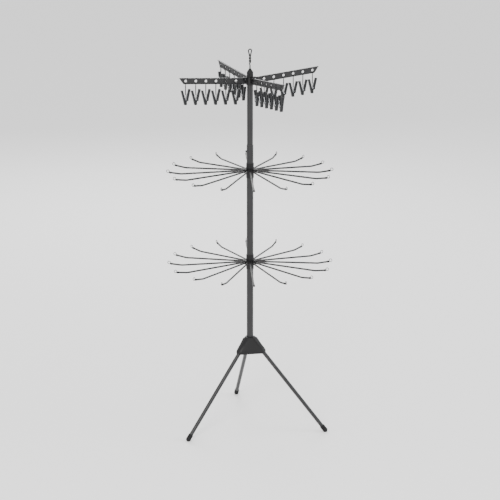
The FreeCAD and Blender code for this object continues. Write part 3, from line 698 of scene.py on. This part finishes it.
clip = {
    "ringRadius": 5.5,
    "ringWire": 0.9,
    "shank": 2.0,
    "shankEnd": 47.0,       # below the ring's centre
    "pivotDrop": 64.0,
    "tailWire": 0.8,
    "depth": 10.0,
    "spring": 2.6,
    "springWire": 0.55,
    "springTurns": 9,
    "springLength": 11.5,
    "springReach": 8.0,     # each leg's end, out from the middle
    "springRise": 21.0,     # and above the pivot
    "ridges": 7,
    "ridgeDepth": -0.45,
    "teeth": 5,
    "toothDepth": -0.35,
    "teethLength": 9.6,     # up the jaw's face from its tip
}
# each lever's corners: across the top of its handle, then down its back to the jaw's tip
levers = {
    "long": [(12.7, -26.1), (20.3, -28.0), (10.8, -64.0), (9.8, -69.5), (8.9, -72.5), (6.1, -86.5)],
    "short": [(12.7, -22.6), (20.3, -24.5), (10.8, -64.0), (11.4, -69.5), (3.8, -72.5), (3.5, -86.5)],
}
cornerRadii = [2.6, 2.6, 2.5, 2.8, 2.5, 1.4]


def ridged(first, last, count, depth):
    # points from one place to another in even ridges on the left, or grooves where depth is negative
    first, last = Vector(first), Vector(last)
    side = (last - first).orthogonal().normalized() * depth
    steps = count * 6
    points = []
    for i in range(1, steps):
        swell = 0.5 - 0.5 * math.cos(2 * math.pi * count * i / steps)
        points.append(tuple(first.lerp(last, i / steps) + side * swell))
    return points


def leverOutline(side, corners):
    pivot, seat, face = -clip["pivotDrop"], clip["spring"] + clip["springWire"] + 0.2, 0.3
    tip = corners[-1][1]
    steps = 4
    rounded = softened(corners + [(face, tip), (face, pivot - seat), (seat, pivot)],
                       cornerRadii + [0.5, 0.1, 0.1], steps)
    # the ridges go in after the handle's second corner, the teeth after the jaw's tip
    handleEnd, jawEnd = 2 * (steps + 1), 7 * (steps + 1)
    back = rounded[handleEnd - 1]
    grip = Vector(back).lerp(Vector(rounded[handleEnd]), 0.45)
    points = rounded[:handleEnd] + ridged(back, grip, clip["ridges"], clip["ridgeDepth"])
    points += rounded[handleEnd:jawEnd]
    points += ridged((face, tip + 0.6), (face, tip + clip["teethLength"]), clip["teeth"], clip["toothDepth"])
    points += roundPoints((0, pivot), seat, 8, -85, 85)
    return [(side * x, z) for x, z in points]


def coilPoints(radius, length, turns, centre, handles):
    # torsion spring: a leg, the coil, a leg
    points = [handles[0]]
    steps = turns * 12
    for i in range(steps + 1):
        angle = math.pi + 2 * math.pi * (turns + 0.5) * i / steps
        across = -length / 2 + length * i / steps
        points.append((radius * math.cos(angle), across, centre + radius * math.sin(angle)))
    points.append(handles[1])
    return [tuple(v * mm for v in point) for point in points]


def makeClips():
    pivot = -clip["pivotDrop"]
    plates = []
    for side, key in ((-1, "long"), (1, "short")):
        outline = scaledPoints(leverOutline(side, levers[key]))
        plates.append(plate("clipLever", [outline], clip["depth"] * mm, 0.6 * mm))
    pair = tidyMesh(joinMeshes("clipLevers", plates), 40)
    ring, shank, end = clip["ringRadius"], clip["shank"], -clip["shankEnd"]
    # the ring's wire runs into a moulded shank; a thin bright wire goes on to the spring
    turns = [(0, x * mm, z * mm) for x, z in roundPoints((0, 0), ring, 40)]
    stem = lathe("hangerShank", [(r * mm, z * mm) for r, z in (
        (0.9, end), (1.5, end + 0.4), (shank * 0.92, end + 1.6), (shank, end + 3.2), (shank, -ring - 4.2),
        (shank * 0.92, -ring - 2.6), (1.5, -ring - 1.2), (1.0, -ring - 0.5),
    )], 20)
    loop = wire("hangerRing", turns, clip["ringWire"] * mm, closed=True)
    hangers = joinMeshes("clipHanger", [loop, stem])
    tidyMesh(hangers, 50)
    half = clip["springLength"] / 2
    out, up = clip["springReach"], pivot + clip["springRise"]
    legs = [(-out, -half, up), (out, half, up)]
    spring = joinMeshes("clipSpring", [
        wire("springCoil", coilPoints(clip["spring"], clip["springLength"], clip["springTurns"], pivot, legs),
             clip["springWire"] * mm, sides=1),
        wire("hangerTail", [(0, 0, (end + 1) * mm), (0, 0, pivot * mm)], clip["tailWire"] * mm),
    ])
    step = Vector((arm["holePitch"], 0, arm["holePitch"] * math.tan(armSlope))) * mm
    first = Vector((arm["firstHole"], 0, arm["firstHole"] * math.tan(armSlope))) * mm
    # half of the rows hang turned round, so that the long levers face one way across the rack
    for turn, armNumbers in ((0, (1, 2)), (math.pi, (3, 4))):
        for label, mesh, material, slot in (("pegLevers", pair, pegPolypropylene, "clip_plastic"),
                                            ("pegHangers", hangers, dippedWire, "hook_wire"),
                                            ("pegSprings", spring, zincPlate, "zinc_pin")):
            row = rowOf(label, mesh, arm["holes"], first, step, (0, 0, turn), material)
            tidyMesh(row, 45)
            for i in armNumbers:
                joint = joints["clips_%d_swing" % i]
                facing = math.atan2(joint["pos_m"][1], joint["pos_m"][0])
                place = Matrix.Translation(joint["pos_m"]) @ Matrix.Rotation(facing, 4, "Z")
                showPiece("%s_%d" % (label, i), moved(row, place), joint["child"], slot, "clips_%d" % i)


makeClips()
print("stage: clips made")


tripod = {
    "legDiameter": 16.0,
    "legGap": 0.5,
    "edge": 11.0,           # upright edge of the skirt
    "bottomSpread": 50.0,
    "topSpread": 8.0,
    "bottomLobe": 19.0,
    "topLobe": 16.0,
    "wall": 3.0,
    "cheek": 5.0,
    "cheekReach": 62.0,     # along the bottom, from the pole's axis
    "cheekTop": 26.0,
    "bossRadius": 17.5,
    "bossRise": 12.0,       # its foot above the skirt's bottom edge
    "poleRadius": 14.0,
    "socket": 42.0,
    "round": 2.2,
    "kneeRound": 1.6,       # half height of the turn from the edge into the slope
}


def lobedRing(made, spread, lobe, height, start, steps=12):
    # one level of the skirt: three arcs joined by straight sides
    ring = []
    for corner in range(3):
        turn = start + corner * 2 * math.pi / 3
        middle = Vector((spread * math.cos(turn), spread * math.sin(turn)))
        for i in range(steps + 1):
            angle = turn + math.radians(-60 + 120 * i / steps)
            ring.append(middle + lobe * Vector((math.cos(angle), math.sin(angle))))
        end = ring[-1]
        turn += 2 * math.pi / 3
        nextMiddle = Vector((spread * math.cos(turn), spread * math.sin(turn)))
        angle = turn - math.radians(60)
        after = nextMiddle + lobe * Vector((math.cos(angle), math.sin(angle)))
        for i in range(1, 6):
            ring.append(end.lerp(after, i / 6))
    return [made.verts.new((v.x * mm, v.y * mm, height * mm)) for v in ring]


def closedRings(made, rings):
    count = len(rings[0])
    for lower, upper in zip(rings, rings[1:]):
        for i in range(count):
            j = (i + 1) % count
            made.faces.new((lower[i], lower[j], upper[j], upper[i]))


def skirtLevels(bottom, top, inset, shift):
    # heights with their spread and lobe radius; the edges are rounded outside
    levels = []
    knee = bottom + tripod["edge"]
    soft, ease = tripod["round"], tripod["kneeRound"]

    def at(height):
        # spread and lobe radius at one height, easing into the slope at both its ends
        share = min(max((height - knee) / (top - knee), 0), 1)
        share = share - 0.035 * math.sin(share * math.pi * 2)
        spread = tripod["bottomSpread"] + (tripod["topSpread"] - tripod["bottomSpread"]) * share
        lobe = tripod["bottomLobe"] + (tripod["topLobe"] - tripod["bottomLobe"]) * share
        return spread, lobe - inset

    for height in (bottom, knee - ease, knee + ease):
        levels.append((height, *at(height)))
    for i in range(1, 12):
        height = knee + ease + (top - soft - knee - ease) * i / 11
        levels.append((height, *at(height)))
    if not inset:
        spread, lobe = at(bottom)
        levels[0] = (bottom + soft, spread, lobe)
        for i in range(1, 5):
            angle = math.radians(90 * i / 4)
            drop = soft - soft * math.sin(angle)
            levels.insert(0, (bottom + drop, spread, lobe - soft + soft * math.cos(angle)))
        spread, lobe = at(top)
        for i in range(1, 5):
            angle = math.radians(90 * i / 4)
            levels.append((top - soft + soft * math.sin(angle), spread, lobe - soft + soft * math.cos(angle)))
    return [(height + shift, spread, lobe) for height, spread, lobe in levels]


def lobedSolid(name, levels, start):
    made = bmesh.new()
    rings = [lobedRing(made, spread, lobe, height, start) for height, spread, lobe in levels]
    closedRings(made, rings)
    made.faces.new(list(reversed(rings[0])))
    made.faces.new(rings[-1])
    bmesh.ops.recalc_face_normals(made, faces=made.faces)
    mesh = bpy.data.meshes.new(name)
    made.to_mesh(mesh)
    made.free()
    return mesh


def boolean(base, tools, operation):
    # carve or join work objects into a base object, and keep only the result
    for tool in tools:
        modifier = base.modifiers.new("carve", "BOOLEAN")
        modifier.object = tool
        modifier.operation = operation
        modifier.solver = "EXACT"
    mesh = bakeObject(base)
    for tool in tools:
        bpy.data.objects.remove(tool)
    return mesh


def makeTripodHub():
    low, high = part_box("tripod_hub")
    bottom, top = low.z / mm, high.z / mm
    legs = [joints["leg_%d_fold" % i] for i in (1, 2, 3)]
    start = math.atan2(legs[0]["pos_m"][1], legs[0]["pos_m"][0])
    radius = tripod["legDiameter"] / 2 + tripod["legGap"]
    outside = workObject("skirtOutside", lobedSolid("skirtOutside", skirtLevels(bottom, top, 0, 0), start))
    inner = skirtLevels(bottom, top, tripod["wall"], -tripod["wall"])
    inside = workObject("skirtInside", lobedSolid("skirtInside", inner, start))
    shell = boolean(outside, [inside], "DIFFERENCE")
    walls = [workObject("hubBoss", lathe("hubBoss", [(r * mm, z * mm) for r, z in (
        (tripod["bossRadius"], bottom + tripod["bossRise"]), (tripod["bossRadius"], top - 1))], 48))]
    out, cheekTop, rise = tripod["cheekReach"], tripod["cheekTop"], bottom + tripod["bossRise"]
    cheekShape = [(0, bottom + 2), (out, bottom + 2), (out, rise), (cheekTop, top - 5), (0, top - 5)]
    cheekWidth = 2 * (radius + tripod["cheek"])
    for joint in legs:
        turn = Matrix.Rotation(math.atan2(joint["pos_m"][1], joint["pos_m"][0]), 4, "Z")
        cheek = plate("hubCheek", [scaledPoints(cheekShape)], cheekWidth * mm, 0.01 * mm)
        walls.append(workObject("hubCheek", moved(cheek, turn)))
    filled = boolean(workObject("hubShell", shell), walls, "UNION")
    cuts = []
    for joint in legs:
        place = Vector(joint["pos_m"])
        pivot = Vector((math.hypot(place.x, place.y), place.z)) / mm
        spread = math.radians(joint["range_deg"][1])
        along = Vector((math.sin(spread), -math.cos(spread)))
        across = Vector((math.cos(spread), math.sin(spread)))
        shape = [(pivot.x - radius, bottom - 20), (pivot.x - radius, pivot.y)]
        for i in range(1, 13):
            angle = math.pi - (math.pi - math.atan2(across.y, across.x)) * i / 12
            shape.append((pivot.x + radius * math.cos(angle), pivot.y + radius * math.sin(angle)))
        far = pivot + across * radius + along * 90
        shape += [tuple(far), (far.x, bottom - 20)]
        slot = plate("legSlot", [scaledPoints(shape)], 2 * radius * mm, 0.01 * mm)
        turn = Matrix.Rotation(math.atan2(place.y, place.x), 4, "Z")
        cuts.append(workObject("legSlot", moved(slot, turn)))
    socket = lathe("poleSocket", [(tripod["poleRadius"] * mm, (top - tripod["socket"]) * mm),
                                  (tripod["poleRadius"] * mm, (top + 5) * mm)], 64)
    cuts.append(workObject("poleSocket", socket))
    hub = workObject("hub", boolean(workObject("hubFilled", filled), cuts, "DIFFERENCE"))
    bevel = hub.modifiers.new("edges", "BEVEL")
    bevel.width = 0.5 * mm
    bevel.segments = 2
    bevel.limit_method = "ANGLE"
    bevel.angle_limit = math.radians(50)
    mesh = tidyMesh(bakeObject(hub), 40)
    showPiece("tripodHub", coloured(mesh, blackPolypropylene), "frame", "black_plastic", "tripod_hub")


foot = {
    "radius": 10.2,
    "legRadius": 8.0,
    "sleeve": 22.0,
    "centreHeight": 8.5,
    "reach": 334.0,
    "grooves": 3,
    "grooveStart": 4.5,     # below the sleeve's top
    "groovePitch": 4.2,
    "grooveDepth": 0.55,
}


def makeFeet():
    radius, sleeve = foot["radius"], foot["sleeve"]
    profile = [(foot["legRadius"], sleeve), (radius - 0.7, sleeve), (radius - 0.2, sleeve - 0.3),
               (radius, sleeve - 0.9)]
    groove = radius - foot["grooveDepth"]
    for i in range(foot["grooves"]):
        z = sleeve - foot["grooveStart"] - i * foot["groovePitch"]
        profile += [(radius, z), (groove, z - 0.4), (groove, z - 1.3), (radius, z - 1.7)]
    for i in range(10):
        angle = math.radians(90 * i / 10)
        profile.append((radius * math.cos(angle), -radius * math.sin(angle)))
    profile += [(0.3, -radius), (0.3, 0), (foot["legRadius"], 0), (foot["legRadius"], sleeve)]
    for i in (1, 2, 3):
        joint = joints["leg_%d_fold" % i]
        place = Vector(joint["pos_m"])
        turn = math.atan2(place.y, place.x)
        spread = math.radians(joint["range_deg"][1])
        cap = lathe("footCap", [(r * mm, z * mm) for r, z in reversed(profile)], 48)
        base = Matrix.Translation((foot["reach"] * mm, 0, foot["centreHeight"] * mm))
        stand = Matrix.Rotation(turn, 4, "Z") @ base @ Matrix.Rotation(-spread, 4, "Y")
        cap.transform(stand)
        for vertex in cap.vertices:
            vertex.co.z = max(vertex.co.z, 0)
        showPiece("footCap_%d" % i, coloured(cap, softVinyl), "leg_%d" % i, "black_rubber", "foot_%d" % i)


makeTripodHub()
makeFeet()
print("stage: tripod hub and feet made")


cap = {
    "radius": 13.1,
    "straight": 19.0,
    "shoulder": 14.0,
    "neckRadius": 4.4,
    "neck": 1.5,
    "bore": 2.9,
    "ribs": 20,
    "ribDepth": 0.9,
}


def makeCap():
    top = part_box("top_cap")[1].z / mm
    shoulderTop = top - cap["neck"]
    straightTop = shoulderTop - cap["shoulder"]
    bottom = straightTop - cap["straight"]
    radius = cap["radius"]
    bore = cap["bore"]
    mouth = bore + 0.1
    profile = [(mouth, bottom), (radius - 0.6, bottom), (radius, bottom + 0.7), (radius, bottom + 2.6)]
    profile += [(radius, bottom + 3.2 + i * (straightTop - bottom - 4.8) / 8) for i in range(9)]
    profile.append((radius, straightTop))
    for i in range(1, 17):
        # a straight cone, eased where it leaves the fluted part
        share = i / 16
        ease = 0.06 * math.sin(math.pi * share) * (1 - share)
        reach = radius + (cap["neckRadius"] - radius) * (share - ease)
        profile.append((reach, straightTop + cap["shoulder"] * share))
    profile += [(cap["neckRadius"], top - 0.5), (cap["neckRadius"] - 0.5, top),
                (bore, top), (bore, bottom), (mouth, bottom)]
    body = lathe("topCap", [(r * mm, z * mm) for r, z in profile], 160, cap["ribs"], cap["ribDepth"] * mm,
                 ((bottom + 3) * mm, (straightTop - 1) * mm), 30)
    showPiece("topCap", coloured(body, blackPolypropylene), "frame", "black_plastic", "top_cap")


hook = {
    "wire": 2.6,
    "shaft": 2.8,
    "headRadius": 5.0,
    "headHeight": 4.0,
    "width": 19.0,
    "loopHeight": 36.0,
    "twistLength": 27.0,
    "strand": 2.75,         # strand's distance from the axis in the twist
    "pitch": 23.0,
}


def relaxed(points, rounds):
    # ease the kinks out of a line, keeping its ends
    line = [Vector(p) for p in points]
    for _ in range(rounds):
        line = [line[0]] + [(a + 2 * b + c) / 4 for a, b, c in zip(line, line[1:], line[2:])] + [line[-1]]
    return [tuple(p * mm) for p in line]


def makeHook():
    low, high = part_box("hanging_hook")
    top, strand = high.z / mm, hook["strand"]
    crossing = top - hook["loopHeight"]
    middle, loopRadius = top - hook["width"] / 2, hook["width"] / 2 - hook["wire"]
    lean = math.asin(loopRadius / (middle - crossing))
    join = crossing + strand / math.tan(lean)
    twistBottom = crossing - hook["twistLength"]

    def twisted(height, start):
        angle = start - 2 * math.pi * (join - height) / hook["pitch"]
        return (strand * math.cos(angle), strand * math.sin(angle), height)

    # one wire: up beside itself, round the loop, and down again to a cut end
    points = [(0, 0, twistBottom - 6), (0, 0, twistBottom - 4), (0, 0, twistBottom - 2)]
    count = int(join - twistBottom - 2)
    heights = [twistBottom + 2 + (join - twistBottom - 2) * i / count for i in range(count)]
    points += [twisted(height, 0) for height in heights]
    sideEnd = (middle - crossing) * math.cos(lean)
    for i in range(15):
        reach = strand / math.sin(lean) + (sideEnd - strand / math.sin(lean)) * i / 14
        points.append((reach * math.sin(lean), 0, crossing + reach * math.cos(lean)))
    for i in range(1, 30):
        angle = -lean + (math.pi + 2 * lean) * i / 30
        points.append((loopRadius * math.cos(angle), 0, middle + loopRadius * math.sin(angle)))
    for i in range(15):
        reach = sideEnd + (strand / math.sin(lean) - sideEnd) * i / 14
        points.append((-reach * math.sin(lean), 0, crossing + reach * math.cos(lean)))
    points += [twisted(height, math.pi) for height in reversed(heights[1:])]
    body = wire("hookWire", relaxed(points, 3), hook["wire"] * mm, sides=5)
    shaft = hook["shaft"]
    head, bottom = hook["headRadius"], low.z / mm
    headTop = bottom + hook["headHeight"]
    spindle = lathe("hookShaft", [(r * mm, z * mm) for r, z in (
        (head - 0.6, bottom), (head, bottom + 0.6), (head, headTop - 0.6), (head - 0.6, headTop),
        (shaft, headTop), (shaft, twistBottom - 4.5), (shaft * 0.9, twistBottom - 3.5),
    )], 32)
    mesh = tidyMesh(joinMeshes("hangingHook", [body, spindle]), 45)
    showPiece("hangingHook", coloured(mesh, dippedWire), "hook", "hook_wire", "hanging_hook")


makeCap()
makeHook()
print("stage: top cap and hook made")


# the plain pieces keep their shape and take a finish
keptFinishes = {
    "pole_lower": greyPowderCoat, "pole_middle": greyPowderCoat, "pole_upper": greyPowderCoat,
    "leg_1": greyPowderCoat, "leg_2": greyPowderCoat, "leg_3": greyPowderCoat,
    "pole_button": charcoalAbs, "lower_tier_hub": blackPolypropylene, "upper_tier_hub": blackPolypropylene,
    "tier_covers": blackPolypropylene, "top_hub": blackPolypropylene,
    "leg_pivot_pins": zincPlate, "arm_pins": zincPlate, "hinge_rings": zincPlate,
}
for node, material in keptFinishes.items():
    mesh = frame["nodes"][node].data
    mesh.materials.clear()
    mesh.materials.append(material)
print("stage: finishes on the plain pieces")
